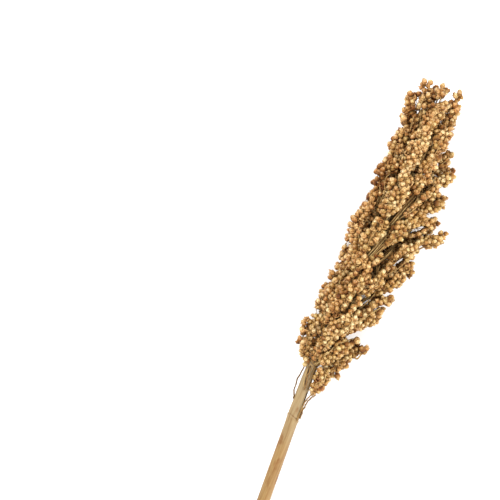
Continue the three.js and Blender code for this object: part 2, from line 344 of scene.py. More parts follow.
class Finish:
    """A material and the few node connections that this plant's finishes are made of."""

    def __init__(self, name, roughness, specular):
        self.material = bpy.data.materials.new(name)
        self.material.use_nodes = True
        self.tree = self.material.node_tree
        self.shader = self.tree.nodes["Principled BSDF"]
        self.shader.inputs["Roughness"].default_value = roughness
        self.shader.inputs["Specular IOR Level"].default_value = specular

    def node(self, kind, **settings):
        made = self.tree.nodes.new(kind)
        for key, value in settings.items():
            setattr(made, key, value)
        return made

    def link(self, source, target):
        self.tree.links.new(source, target)

    def value(self, name):
        return self.node("ShaderNodeAttribute", attribute_name=name).outputs["Fac"]

    def place(self, scale):
        coordinates = self.node("ShaderNodeTexCoord")
        mapping = self.node("ShaderNodeMapping")
        mapping.inputs["Scale"].default_value = scale
        self.link(coordinates.outputs["Object"], mapping.inputs["Vector"])
        return mapping.outputs["Vector"]

    def noise(self, scale, detail=3.0, stretch=(1, 1, 1)):
        made = self.node("ShaderNodeTexNoise")
        made.inputs["Scale"].default_value = scale
        made.inputs["Detail"].default_value = detail
        self.link(self.place(stretch), made.inputs["Vector"])
        return made.outputs["Fac"]

    def ramp(self, source, *stops):
        """Colours along a value. A stop is a position and a screen colour's three numbers."""
        made = self.node("ShaderNodeValToRGB")
        elements = made.color_ramp.elements
        while len(elements) < len(stops):
            elements.new(0.5)
        for element, (position, *colour) in zip(elements, stops):
            element.position = position
            element.color = paint(*colour)
        self.link(source, made.inputs["Fac"])
        return made.outputs["Color"]

    def mix(self, share, first, second, kind="MIX"):
        """The first colour with a share of the second. Each is an output or a constant."""
        made = self.node("ShaderNodeMix", data_type="RGBA", blend_type=kind)
        for index, given in ((0, share), (6, first), (7, second)):
            if hasattr(given, "links"):
                self.link(given, made.inputs[index])
            else:
                made.inputs[index].default_value = given
        return made.outputs[2]

    def where_over(self, source, limit):
        """1 where the source is over the limit, 0 elsewhere."""
        made = self.node("ShaderNodeMath", operation="GREATER_THAN")
        self.link(source, made.inputs[0])
        made.inputs[1].default_value = limit
        return made.outputs[0]

    def colour(self, source):
        self.link(source, self.shader.inputs["Base Color"])

    def bump(self, source, strength, distance):
        made = self.node("ShaderNodeBump")
        made.inputs["Strength"].default_value = strength
        made.inputs["Distance"].default_value = distance
        self.link(source, made.inputs["Height"])
        self.link(made.outputs["Normal"], self.shader.inputs["Normal"])


# %% Grain and husk
WHITE = (255, 255, 255)  # multiplying by white leaves a colour as it is


def grain_finish():
    """Cream to tan shell: tone sets how pale a grain is, and blush how pink or green. The height
    on the grain paints light into it: the base darker, as painted shade where the husk clasps it,
    and the crown near white, as a painted highlight. Noise adds mottle and a few scars."""
    f = Finish("grain_shell", 0.3, 0.42)
    straw = f.ramp(f.value("tone"), (0.0, 156, 121, 60), (0.45, 199, 169, 104), (1.0, 230, 213, 162))
    blushed = f.ramp(f.value("tone"), (0.0, 158, 106, 52), (0.45, 204, 159, 98), (1.0, 232, 204, 152))
    body = f.mix(f.value("blush"), straw, blushed)
    # Painted light and shade by height on the grain: dark brown at the base, near white at the crown.
    crown = f.ramp(f.value("height"), (0.15, 158, 104, 50), (0.55, 242, 226, 202), (0.95, 246, 248, 252))
    shaded = f.mix(0.85, body, crown, "MULTIPLY")
    mottle = f.ramp(f.noise(1100, 2), (0.38, 158, 124, 90), (0.52, *WHITE))
    mottled = f.mix(0.85, shaded, mottle, "MULTIPLY")
    scar = f.where_over(f.noise(330, 1), 0.69)
    f.colour(f.mix(scar, mottled, paint(112, 68, 36)))
    f.bump(f.noise(2600, 2), 0.3, 0.0002)
    return f.material


def husk_finish():
    """Straw paper with fine streaks, paler at its tips. Its foot and the inner wall of the cup are
    brown: partly the husk's own colour, partly painted shade in the creases and inside the cup.
    """
    f = Finish("husk_paper", 0.7, 0.2)
    straw = f.ramp(f.value("tone"), (0.0, 138, 102, 52), (0.5, 195, 161, 98), (1.0, 233, 209, 154))
    blushed = f.ramp(f.value("tone"), (0.0, 142, 91, 45), (0.5, 199, 151, 93), (1.0, 237, 199, 146))
    body = f.mix(f.value("blush"), straw, blushed)
    # Partly the husk's own colour, partly painted shade: low heights, at the foot and on the inner wall,
    # are dark brown.
    tips = f.ramp(f.value("height"), (0.1, 112, 71, 33), (0.6, 228, 204, 174), (1.0, *WHITE))
    shaded = f.mix(0.9, body, tips, "MULTIPLY")
    streak = f.ramp(f.noise(1500, 4), (0.38, 160, 130, 100), (0.6, *WHITE))
    f.colour(f.mix(0.7, shaded, streak, "MULTIPLY"))
    f.bump(f.noise(1800, 3), 0.4, 0.0003)
    return f.material


# %% Stems and stalk
def stem_finish():
    """Stems from dark brown to straw, as tone rises, with lengthwise fibres."""
    f = Finish("dry_stem", 0.68, 0.2)
    # The darkest stop is partly painted shade: the neck's strands and ridge of tone 0 use it for the
    # shadow in the splits, and other stems reach it by chance.
    shades = ((0.0, 58, 35, 18), (0.2, 120, 88, 48), (0.6, 164, 130, 78), (1.0, 200, 172, 116))
    body = f.ramp(f.value("tone"), *shades)
    fibre = f.ramp(f.noise(1400, 3, (0.12, 1, 1)), (0.35, 150, 120, 84), (0.6, *WHITE))
    f.colour(f.mix(0.7, body, fibre, "MULTIPLY"))
    f.bump(f.noise(1600, 2, (0.1, 1, 1)), 0.5, 0.0003)
    return f.material


def stalk_finish():
    """The stalk's skin: ochre below the node ring and greyer above it, with long fibres, brown
    blotches and a dark line at the ring. The surface carries the values above, ring and cut."""
    f = Finish("stalk_skin", 0.5, 0.3)
    wide = f.noise(60, 4, (0.25, 1, 1))
    lower = f.ramp(wide, (0.3, 132, 101, 56), (0.7, 153, 123, 76))
    upper = f.ramp(wide, (0.3, 132, 111, 76), (0.7, 160, 139, 101))
    body = f.mix(f.value("above"), lower, upper)
    fibre = f.ramp(f.noise(700, 4, (0.03, 1, 1)), (0.3, 206, 180, 142), (0.62, *WHITE))
    fibrous = f.mix(0.75, body, fibre, "MULTIPLY")
    blotch = f.ramp(f.noise(150, 5, (0.45, 1, 1)), (0.56, *WHITE), (0.72, 206, 158, 96))
    blotched = f.mix(0.8, fibrous, blotch, "MULTIPLY")
    ringed = f.mix(f.value("ring"), blotched, paint(84, 54, 28))
    pith = f.ramp(f.noise(900, 3), (0.35, 182, 160, 116), (0.65, 216, 198, 160))
    f.colour(f.mix(f.value("cut"), ringed, pith))
    f.bump(f.noise(900, 3, (0.03, 1, 1)), 0.45, 0.0004)
    return f.material


GRAIN, HUSK, STEM = 0, 1, 2
BRANCH_FINISHES = [grain_finish(), husk_finish(), stem_finish()]
STALK_FINISH = stalk_finish()
print("finishes:", [m.name for m in BRANCH_FINISHES + [STALK_FINISH]])

# %% [markdown]
# ## The stalk
#
# The stalk's solid is cut by upright planes to find its middle line and thickness. The new
# skin follows them with many more columns, so it can carry fine ribs: the stalk of a grass is
# a tube of fibres, and dries into lengthwise ridges.

# %% The stalk's middle line
def sections(node, stations):
    """The middle and the mean radius of a solid where upright planes across X cut it.

    A mesh edge whose two ends lie on different sides of a plane is cut at the share given by
    its ends' distances to that plane. The cuts' mean is the middle of the section."""
    points, faces = read_solid(node)
    edges = np.concatenate([faces[:, [0, 1]], faces[:, [1, 2]], faces[:, [2, 0]]])
    a, b = points[edges[:, 0]], points[edges[:, 1]]
    middles, radii = [], []
    for x in stations:
        crossing = (a[:, 0] - x) * (b[:, 0] - x) < 0
        share = ((x - a[crossing, 0]) / (b[crossing, 0] - a[crossing, 0]))[:, None]
        cuts = a[crossing] + share * (b[crossing] - a[crossing])
        middle = (cuts.min(0) + cuts.max(0)) / 2
        middles.append(middle)
        radii.append(np.linalg.norm(cuts - middle, axis=1).mean())
    return np.array(middles), np.array(radii)


stalk_low, stalk_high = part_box("stalk")
STALK_STATIONS = np.linspace(stalk_low.x + 2 * MM, stalk_high.x - 1.5 * MM, 60)
stalk_middle, stalk_radius = sections("stalk", STALK_STATIONS)
print("stalk radius from", round(stalk_radius[0] / MM, 2), "to", round(stalk_radius[-1] / MM, 2), "mm")


def stalk_at(x):
    """The Y and Z of the stalk's middle, and its radius, at the given X."""
    middle = np.stack([np.interp(x, STALK_STATIONS, stalk_middle[:, k]) for k in (1, 2)], -1)
    return middle, np.interp(x, STALK_STATIONS, stalk_radius)


def on_stalk(x, angle, lift):
    """The place at a height of lift over the stalk's skin, at an angle round the stalk that is
    counted from +Y towards +Z: middle + (radius + lift) * (cos, sin)."""
    middle, radius = stalk_at(x)
    y = middle[..., 0] + (radius + lift) * np.cos(angle)
    z = middle[..., 1] + (radius + lift) * np.sin(angle)
    return np.stack([x, y, z], -1)


NODE_RING = 0.2720  # from the cut end to the node ring, in metres
RING_X = stalk_low.x + NODE_RING
HEAD_ACROSS = 0.0195  # where the head's zero across lies in the frame


def in_head(along, across):
    """Frame X and Y of a place given in mm: along the head from the node ring, and across it
    to the left."""
    return RING_X + along * MM, HEAD_ACROSS + across * MM


# %% The stalk's skin
STALK_COLUMNS = 64
STALK_ROWS = 420
# The rings of the cut end, from the pith out to the rim: each is the rim drawn in to a share of
# its size, and set back into the stalk by so many mm.
CUT_RINGS = ((0.2, 1.0), (0.72, 0.8), (0.8, 0.1), (0.97, -0.15))
PITH_RINGS = 3


def stalk_surface():
    """The skin's ring at each row is middle + radius * (1 + ribs + collar + swell). The ribs are
    a sum of three waves round the stalk whose phases drift along it. At the node ring the stalk
    swells, and a thin collar ends in a groove. Both are bell curves of the distance from it."""
    rng = np.random.default_rng(11)
    path_x = np.linspace(stalk_low.x + 0.2 * MM, stalk_high.x - 0.2 * MM, STALK_ROWS)
    # Rows gather round the node ring, where the shape is finest.
    extra = RING_X + np.linspace(-6, 6, 61) * MM
    path_x = np.sort(np.concatenate([path_x, extra]))
    middle, radius = stalk_at(path_x)
    middle = np.column_stack([path_x, middle])
    radius = radius * 1.01
    angle = np.arange(STALK_COLUMNS) * 2 * np.pi / STALK_COLUMNS
    drift = np.cumsum(rng.normal(0, 0.012, (3, len(path_x))), axis=1)
    ribs = (
        0.014 * np.sin(9 * angle + drift[0][:, None] * 4)
        + 0.010 * np.sin(17 * angle + 1.3 + drift[1][:, None] * 5)
        + 0.007 * np.sin(26 * angle + 0.4 + drift[2][:, None] * 6)
    )
    # The ring is slanted, so the distance from it, in mm, depends on the angle.
    from_ring = (path_x[:, None] - RING_X) / MM + 1.2 - 1.7 * np.cos(angle)
    collar = 0.07 * np.exp(-((from_ring + 1.1) ** 2)) - 0.05 * np.exp(-(((from_ring - 0.4) / 0.5) ** 2))
    swell = 0.025 * np.exp(-((from_ring / 7) ** 2))
    size = radius[:, None] * (1 + ribs + collar + swell)
    rings = middle[:, None].repeat(STALK_COLUMNS, 1)
    rings[:, :, 1] += size * np.cos(angle)
    rings[:, :, 2] += size * np.sin(angle)
    ring_line = np.exp(-(((from_ring - 0.35) / 0.5) ** 2)) * (0.5 - 0.3 * np.cos(angle))
    # The greyer colour starts at the ring, and a weaker touch of it reaches 24 mm below.
    below = 0.38 + 0.38 * np.tanh((from_ring + 24) / 7)
    above = np.maximum(0.5 + 0.5 * np.tanh(1.5 * from_ring), below)
    rim = rings[0]
    centre = rim.mean(0)
    inner = [centre + (rim - centre) * share + np.array([back * MM, 0, 0]) for share, back in CUT_RINGS]
    rings = np.concatenate([np.stack(inner), rings])
    cut = np.zeros(rings.shape[:2])
    cut[:PITH_RINGS] = 1.0
    pad = np.zeros((len(CUT_RINGS), STALK_COLUMNS))
    values = {"cut": cut, "ring": np.concatenate([pad, ring_line]), "above": np.concatenate([pad, above])}
    return rings[None], {name: value[None] for name, value in values.items()}


# %% The neck of the stalk
# A strand's start and end in mm from the node ring, its angles round the stalk there in degrees,
# its height over the skin and its radius in mm, and its tone.
# Painted shade: a tone of 0 makes a strand near-black brown, standing for the shadow in the split beside
# it.
NECK_STRANDS = (
    (27, 47, 86, 54, 0.0, 0.45, 0.9),
    (28, 49, 101, 72, 0.1, 0.55, 0.0),
    (30, 49, 95, 66, 0.1, 0.45, 0.0),
    (33, 50, 72, 46, 0.0, 0.4, 0.75),
    (34, 52, 112, 108, -0.1, 0.4, 0.3),
    (1, 26, 150, 144, 0.1, 0.5, 0.0),
)
# A ridge's place in mm from the node ring, its radius in mm, and its tone.
# Painted shade: the middle ridge, of tone 0, is near-black brown and stands for the shadow of the groove
# between the other two.
NECK_RIDGES = ((53.6, 0.5, 0.8), (52.2, 0.3, 0.0), (50.4, 0.45, 0.7))


def neck_strands():
    """The lowest branchlets start as strands pressed on the neck. Those of tone 0 are near-black
    brown: painted shade for the dark splits between the strands. A strand's angle turns by
    tanh(3t) of its whole turn at the share t of its length, so it curves near its start and then
    runs straight. Its two ends sink into the skin."""
    start, end, first, last, lift, radius, tone = np.array(NECK_STRANDS).T[..., None]
    t = np.linspace(0, 1, 40)
    x = RING_X + (start + (end - start) * t) * MM
    angle = np.radians(first) + np.radians(last - first) * np.tanh(3 * t)
    sink = np.minimum(np.minimum(t, 1 - t) * 8, 1) - 1
    paths = on_stalk(x, angle, (lift + 0.7 * sink) * MM)
    return paths, radius * (1 + 0.12 * np.sin(t * 17)) * MM, tone[:, 0]


def neck_ridges():
    """Three ridges that run slanting over the upper face of the neck, where the lowest branches
    leave. Each is an arc round the stalk, and its thickness is a sine, thin at both ends."""
    along, radius, tone = np.array(NECK_RIDGES).T[..., None]
    t = np.linspace(0, 1, 24)
    x = RING_X + (along - 3.2 * t - 0.8 * np.sin(np.pi * t)) * MM
    angle = np.broadcast_to(np.radians(35 + 120 * t), x.shape)
    return on_stalk(x, angle, 0.0), radius * np.sin(np.pi * (0.1 + 0.8 * t)) * MM, tone[:, 0]


def make_stalk():
    rings, values = stalk_surface()
    made = Surfaces()
    made.add(rings, 0, **values)
    for paths, radii, tone in (neck_strands(), neck_ridges()):
        made.add(tubes(paths, radii, 6), 1, tone=tone)
    return place(made.mesh("stalk_skin", [STALK_FINISH, BRANCH_FINISHES[STEM]]), "stalk", "stalk")


stalk = make_stalk()
print("stalk skin:", len(stalk.data.polygons), "faces")

# %% [markdown]
# ## Bare strands
#
# Some of the lowest branchlets lost their grains and dried along the stalk. Each is a thin
# tapering tube on the route of its rod, with small kinks where its grains were.

# %% Bare strands
def end_to_end(node, rows, start_near):
    """The middle line of a thin solid, from the end that is nearest to a given point.

    The points are sorted by their distance from that end into equal shells, and the mean of
    each shell is a point of the line."""
    points, _ = read_solid(node)
    first = points[np.argmin(np.linalg.norm(points - start_near, axis=1))]
    first = points[np.linalg.norm(points - first, axis=1) < 2.2 * MM].mean(0)
    distance = np.linalg.norm(points - first, axis=1)
    edges = np.linspace(0, distance.max() + 1e-6, rows + 1)
    shell = np.digitize(distance, edges) - 1
    line = [first] + [points[shell == k].mean(0) for k in range(rows) if (shell == k).any()]
    return np.array(line)


def make_strand(node, rng):
    """The kinks are a random walk made to end where it began, so the ends stay in place."""
    low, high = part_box(node)
    line = end_to_end(node, 9, np.array([low.x, (low.y + high.y) / 2, (low.z + high.z) / 2]))
    path = resample(line, 40)
    kinks = np.cumsum(rng.normal(0, 0.12, path.shape), 0)
    path = path + (kinks - np.linspace(0, 1, 40)[:, None] * kinks[-1]) * MM
    radius = np.linspace(0.7, 0.5, 40) * (1 + 0.3 * rng.random(40)) * MM
    made = Surfaces()
    made.add(tubes(path[None], radius[None], 7), 0, tone=0.15 + rng.random() * 0.3)
    mesh = made.mesh(node.replace("bare_strand", "dry_strand"), [BRANCH_FINISHES[STEM]])
    return place(mesh, "strand", node)


strand_rng = np.random.default_rng(5)
strands = [make_strand(node, strand_rng) for node in STRAND_NODES]
print(len(strands), "strands")

# %% [markdown]
# ## One grain in its husk
#
# A grain is a round shell that narrows a little to its base. Husk leaves clasp it from below, so
# the husk is a cup whose rim rises to two long points and two short ones. Both are grids, and
# every grain of a branch is worked out at once: the first axis of each array counts the grains.

# %% One grain in its husk
GRAIN_RADIUS = 2.42 * MM
KERNEL_ROWS = np.radians([26, 60, 92, 122, 152])
KERNEL_COLUMNS = 8
HUSK_COLUMNS = 8
# The husk's colour follows this rise: its low values at the foot and inside the cup paint shade there.
HUSK_RISE = np.array([0.0, 0.3, 0.6, 1.0, 0.85, 0.1])  # from the husk's foot to its rim and back in
SPIKE_COLUMNS = 4


def kernels(centres, axes, sides, radii, length, corners, dents):
    """Rounded shells: at the angle t from the base, the ring's radius is r * sin(t), more above
    the middle than below it, and its height is -r * length * cos(t). Round the axis the radius
    swells and shrinks three times by the share that corners gives, and dents move each point
    in or out, because neighbours pressed the grain while it grew."""
    across = np.sin(KERNEL_ROWS) * (1 - 0.16 * np.cos(KERNEL_ROWS))
    up = 0.12 - np.cos(KERNEL_ROWS)
    angle, ring = circle(KERNEL_COLUMNS, sides, 0.92 * np.cross(axes, sides))
    ring = ring * (1 + corners[:, None, None] * np.cos(3 * angle)[:, None])
    r = 0.9 * radii[:, None, None, None]
    wide = r * across[:, None, None] * ring[:, None] * (1 + dents[..., None])
    high = r * length[:, None, None, None] * (up[:, None, None] * (1 + 0.6 * dents[..., None]))
    return centres[:, None, None] + wide + high * axes[:, None, None]


def husks(centres, axes, sides, radii, cover, flare, wear):
    """Cups with a toothed rim: its height is low + cover * point, where point is the square of
    cos(2 * angle), less on two sides than on the others, so that the rim has two long and two
    short points. Flare spreads the points outwards, and wear makes each a little longer or
    shorter. The wall is doubled back and closed."""
    angle, ring = circle(HUSK_COLUMNS, sides, np.cross(axes, sides))
    point = np.cos(2 * angle) ** 2 * (0.8 + 0.2 * np.cos(2 * angle))
    cover, flare = cover[:, None], flare[:, None]
    rim_height = -0.35 + cover * point * (1 + wear)
    rim_radius = np.sqrt(np.clip(1.12**2 - np.clip(rim_height, -1, 1) ** 2, 0.02, None)) + flare * point
    same = np.zeros_like(rim_height)
    rows = [
        (same + 0.26, same - 1.2),
        (same + 0.82, same - 0.84),
        (rim_radius * 0.5 + 0.54, (rim_height - 0.66) / 2),
        (rim_radius, rim_height),
        (rim_radius * 0.95 - 0.05, rim_height - 0.14),
        (same + 0.56, same - 0.72),
    ]
    wide, high = np.array(rows).transpose(1, 2, 0, 3)[..., None]
    shape = wide * ring[:, None] + high * axes[:, None, None]
    return centres[:, None, None] + radii[:, None, None, None] * shape


def spikes(feet, directions, sides, lengths):
    """Slim pointed husks with no grain: the radius at the share t of the length is an eighth of
    the length times the sine of pi * t^0.7, so the thickest part is below the middle."""
    _, ring = circle(SPIKE_COLUMNS, sides, np.cross(directions, sides))
    share = np.array([0.06, 0.35, 0.7, 0.97])
    width = np.sin(np.pi * share**0.7) / 8
    size = lengths[:, None, None, None]
    line = feet[:, None, None] + size * share[:, None, None] * directions[:, None, None]
    return line + size * width[:, None, None] * ring[:, None]


# %% [markdown]
# ## Packing the grains
#
# Inside a branch's solid the grains sit as close as they grew. They start on a lattice of
# close-packed balls with its places shaken, thin out between clusters, and then push each
# other apart a few times. A grain that leaves the solid is pulled back in. What is left is a
# tight but irregular crowd whose outer layer lies just under the solid's surface.

# %% Tools for packing
SPACING = 4.45 * MM
START_SPACING = 4.15 * MM
ROUNDS = 14
PUSH = 0.4  # share of the missing distance that a round makes up


def close_packed(low, high, spacing, rng):
    """Centres of close-packed balls that fill a box: rows shifted by half a step, layers by a
    third, turned by a random angle about X."""
    size = np.linalg.norm(high - low) / 2
    n = int(size / spacing) + 2
    i, j, k = np.meshgrid(*[np.arange(-n, n + 1)] * 3, indexing="ij")
    x = i + 0.5 * ((j + k) % 2)
    y = math.sqrt(3) / 2 * (j + (k % 2) / 3)
    z = math.sqrt(2 / 3) * k
    points = np.stack([x, y, z], -1).reshape(-1, 3) * spacing
    turn = np.array(Matrix.Rotation(rng.random() * math.pi, 3, "X"))
    points = points @ turn.T + (low + high) / 2 + rng.random(3) * spacing
    points += rng.normal(0, 0.14, points.shape) * spacing
    return points[((points > low) & (points < high)).all(1)]


def depths(tree, points):
    """How deep each point lies in a solid, and the surface's outward direction beside it."""
    found = [tree.find_nearest(Vector(p)) for p in points]
    nearest = np.array([f[0] for f in found]).reshape(-1, 3)
    normal = np.array([f[1] for f in found]).reshape(-1, 3)
    return ((nearest - points) * normal).sum(1), normal


def push_apart(points, spacing):
    """Moves each point away from those nearer than the spacing, by a share of what is missing."""
    apart = points[:, None] - points[None]
    distance = np.linalg.norm(apart, axis=2) + np.eye(len(points))
    missing = np.clip(spacing - distance, 0, None) * (1 - np.eye(len(points)))
    return points + (apart / distance[..., None] * missing[..., None]).sum(1) * PUSH


def clusters(points, spacing, rng):
    """Picks points that are at least the spacing apart, in a random order."""
    kept = []
    for candidate in points[rng.permutation(len(points))]:
        if all(np.linalg.norm(candidate - k) > spacing for k in kept):
            kept.append(candidate)
    return np.array(kept)


# %% [markdown]
# ## Partings, pulls and clumps
#
# The solids are plain lumps, and a real head isn't: its branches part here and there, so that
# the stems or the table show through, and its edge is ragged. The places where that happens
# are short lists, in mm along the head from the node ring and across it, and three small
# functions apply them to the grains, so each list can be changed by itself.

# %% Partings
# From and to, half width, and the height over the table above which the grains part.
PARTINGS = (
    # Gaps through which the table shows.
    ((73, 10), (78, 6), 0.6, 0), ((86, 4), (93, 4.5), -0.6, 0), ((106, -11), (112, -13), 0.6, 0),
    ((112, -14), (134, -24), 0.7, 0), ((163, -32), (170, -35), 2.0, 0),
    ((194, -31), (203, -42), 1.6, 0), ((226, -6), (232, -2), 0.8, 0), ((303, 7), (309, 8), 1.0, 0),
    # Notches in the outline.
    ((85, -18), (94, -28), 2.4, 0), ((118, -30), (124, -36), 1.5, 0), ((134, -35), (141, -42), 1.8, 0),
    ((214, -42), (219, -51), 1.6, 0), ((174, -50), (183, -60), 2.5, 0),
    ((179, -50), (186, -46), 1.0, 0), ((200, -51), (203, -57), 0.2, 0),
    ((240, -44), (242, -56), 2.5, 0), ((312, -9), (320, -20), 1.5, 0), ((95, 24), (96, 15), 1.5, 0),
    ((125, 24), (126, 17), 1.5, 0), ((139, 22), (158, 19), 1.0, 0), ((137, 20), (137, 15), 0.8, 0),
    ((145, 22), (146, 14), 0.6, 0), ((163, 22), (164, 13), 1.0, 0), ((177, 22), (178, 16), 0.4, 0),
    ((205, 22), (206, 14), 1.0, 0), ((229, 18), (230, 13), 0.6, 0), ((70, 24), (71, 17), 0.6, 0),
    ((107, 24), (108, 18), 0.5, 0),
    # Channels with stems in them.
    ((146, -15), (180, -26), 2.9, 30), ((184, 5), (212, 6), 1.2, 35), ((160, -5), (184, -14), 2.0, 42),
    ((195, -13), (224, -22), 2.0, 41), ((256, -16), (270, -18), 0.8, 44),
    ((280, -1), (298, 1), 0.4, 38), ((104, -5), (120, -8), 1.0, 37), ((132, 1), (148, -5), 0.5, 43),
    ((222, -24), (238, -30), 1.6, 36),
)


def part(places, drop):
    """Keeps the grains out of the partings. The distance to a parting is that to the nearest
    point of its line, seen from above. A grain near it moves straight away from it, and with
    drop, one right in it is left out."""
    for start, end, half_width, height in PARTINGS:
        start, end = np.array(in_head(*start)), np.array(in_head(*end))
        run = end - start
        share = ((places[:, :2] - start) @ run / (run @ run)).clip(0, 1)
        away = places[:, :2] - start - share[:, None] * run
        distance = np.linalg.norm(away, axis=1)
        high = places[:, 2] > height * MM
        if drop:
            inside = high & (distance < half_width * MM + 0.35 * GRAIN_RADIUS)
            places, away, distance, high = (a[~inside] for a in (places, away, distance, high))
        short = np.clip(half_width * MM + GRAIN_RADIUS - distance, 0, None) * high
        places[:, :2] += unit(away) * short[:, None]
    return places


print(len(PARTINGS), "partings")

# %% Pulls
# The middle of a pull, its reach, and the shift along and across the head.
PULLS = (
    ((40, -18), 9, (0, 2.2)), ((48, -10), 6, (1, 3.5)), ((64, -29), 11, (1.5, 3.0)),
    ((82, -24), 5, (3.0, 1.0)), ((94, -27), 8, (3.0, 2.5)), ((104, -37), 7, (1.0, 2.5)),
    ((55, 17), 8, (0, -3.5)), ((83, 22), 6, (0, 3.0)), ((91, 19), 5, (0, -3.0)),
    ((118, 22), 8, (-1.0, -2.5)), ((132, 15), 4, (1.0, 4.0)), ((148, 18), 11, (0, -5.0)),
    ((172, 16), 5, (0, 1.0)), ((100, 22), 6, (0, -2.0)), ((222, 10), 9, (0, 1.5)),
    ((243, 10), 8, (0, 1.0)), ((270, 9), 9, (0, 2.0)), ((288, 7), 7, (-2.0, 4.5)),
    ((308, 12), 6, (0, 3.5)), ((303, 3), 6, (3.0, 2.5)), ((325, -30), 6, (0, 2.5)),
    ((190, -37), 7, (0, -4.5)), ((215, -48), 5, (3.0, 1.5)), ((320, 5), 8, (4.0, 2.0)),
    ((322, -12), 8, (3.0, 0)), ((308, -35), 11, (0, 3.5)), ((268, -41), 8, (2.0, 4.0)),
    ((245, -47), 6, (3.0, 1.0)), ((229, -50), 8, (2.5, 0.5)), ((207, -47), 7, (1.5, 0)),
    ((186, -53), 9, (4.0, 1.5)), ((158, -48), 10, (0, -1.5)),
)


def pull(places):
    """Shifts the grains about the middle of a pull by its shift times exp(-(distance/reach)^2),
    with the distance measured from above."""
    for middle, reach, shift in PULLS:
        distance = np.linalg.norm(places[:, :2] - np.array(in_head(*middle)), axis=1)
        share = np.exp(-((distance / (reach * MM)) ** 2))
        places[:, :2] += share[:, None] * np.array(shift) * MM
    return places


print(len(PULLS), "pulls")

# %% Clumps
# The middle of a small clump that hangs beside a branch, its height over the table, and the
# number of its grains.
CLUMPS = (
    ((30, -6), 23, 4), ((50, -21), 22, 5), ((58, 12), 24, 5), ((62, 1), 29, 6), ((70, 2), 29, 7),
    ((79, 2), 30, 6), ((80, -27), 20, 5), ((68, 14), 25, 6), ((76, 10), 28, 6), ((84, 11), 29, 6),
    ((92, 6), 31, 6), ((123, -35), 22, 3), ((131, -37), 22, 6), ((134, 16), 26, 4), ((166, -36), 24, 7),
    ((191, -43), 23, 10), ((199, -48), 21, 10), ((208, -43), 23, 8), ((209, -51), 18, 7),
    ((222, 12), 26, 6), ((237, -49), 18, 4), ((243, 4), 37, 10), ((258, -45), 20, 6),
    ((267, -37), 24, 5), ((272, 9), 27, 5), ((275, 3), 36, 8), ((289, 2), 35, 6), ((311, 9), 27, 6),
    ((313, -19), 28, 5), ((318, -24), 26, 3), ((322, -6), 25, 4), ((52, 9), 25, 3),
)


def add_clumps(packed, rng):
    """A clump's grains start near its middle at random and push each other apart. The clump
    joins the branch that has the nearest grain."""
    for middle, height, count in CLUMPS:
        centre = np.array([*in_head(*middle), height * MM])
        ball = centre + rng.normal(0, 0.25, (count, 3)) * SPACING * count ** (1 / 3)
        for _ in range(ROUNDS):
            ball = push_apart(ball, SPACING)
        gaps = [np.linalg.norm(places - centre, axis=1).min() for places, _, _ in packed]
        host = int(np.argmin(gaps))
        places, middles, tree = packed[host]
        packed[host] = (np.concatenate([places, ball]), np.concatenate([middles, centre[None]]), tree)
    return packed


print(len(CLUMPS), "clumps with", sum(count for _, _, count in CLUMPS), "grains")

# %% Packing a branch
INSET = 0.85 * MM
FLOOR_GAP = 2.6 * MM
CLUSTER_SPACING = 10.5 * MM
CLUSTER_REACH = 5.8 * MM
ROUNDING = 1.1 * MM  # how much lower a cluster is at its rim


def pack_branch(node, rng):
    """The places of a branch's grains, the middles of the clusters they grew in, and the
    branch's solid as a tree that answers rays."""
    points, faces = read_solid(node)
    tree = BVHTree.FromPolygons(points.tolist(), faces.tolist())
    places = close_packed(points.min(0), points.max(0), START_SPACING, rng)
    depth, _ = depths(tree, places)
    places = places[depth > INSET * 0.3]
    middles = clusters(places, CLUSTER_SPACING, rng)
    away = np.linalg.norm(places[:, None] - middles[None], axis=2)
    places = places[away.min(1) < CLUSTER_REACH * rng.uniform(1, 1.4, len(places))]
    own = np.linalg.norm(places[:, None] - middles[None], axis=2).argmin(1)
    inset = INSET + rng.uniform(-1.6, 1.8, len(middles))[own] * MM
    from_middle = np.linalg.norm(places - middles[own], axis=1)
    inset += ROUNDING * (from_middle / CLUSTER_REACH) ** 2
    for _ in range(ROUNDS):
        places = push_apart(places, SPACING)
        depth, normal = depths(tree, places)
        places -= normal * np.clip(inset - depth, 0, None)[:, None]
        places[:, 2] = np.maximum(places[:, 2], FLOOR_GAP)
    depth, _ = depths(tree, places)
    return part(pull(places[depth > 0]), drop=True), pull(middles), tree


head_rng = np.random.default_rng(21)
packed = add_clumps([pack_branch(node, head_rng) for node in BRANCH_NODES], np.random.default_rng(22))
counts = [len(places) for places, _, _ in packed]
print(sum(counts), "grains, from", min(counts), "to", max(counts), "in a branch")

# %% [markdown]
# ## Settling the head
#
# Each branch was packed on its own, so grains of neighbouring branches can overlap. A few
# rounds of pushing over the whole head clear that. A search tree finds each grain's
# neighbours, because comparing thousands of grains with each other would be slow.

# %% Settling the head
SETTLING_ROUNDS = 4
SETTLING_PUSH = 0.3
JITTER = 0.32 * MM  # how far a settled grain is shaken, so that no even rows are left


def off_the_stalk(places):
    """Moves the places that are nearer to the stalk's skin than a grain's radius outwards."""
    middle, radius = stalk_at(places[:, 0])
    from_middle = places[:, 1:] - middle
    short = np.clip(radius + GRAIN_RADIUS - np.linalg.norm(from_middle, axis=1), 0, None)
    places[:, 1:] += unit(from_middle) * short[:, None]
    return places


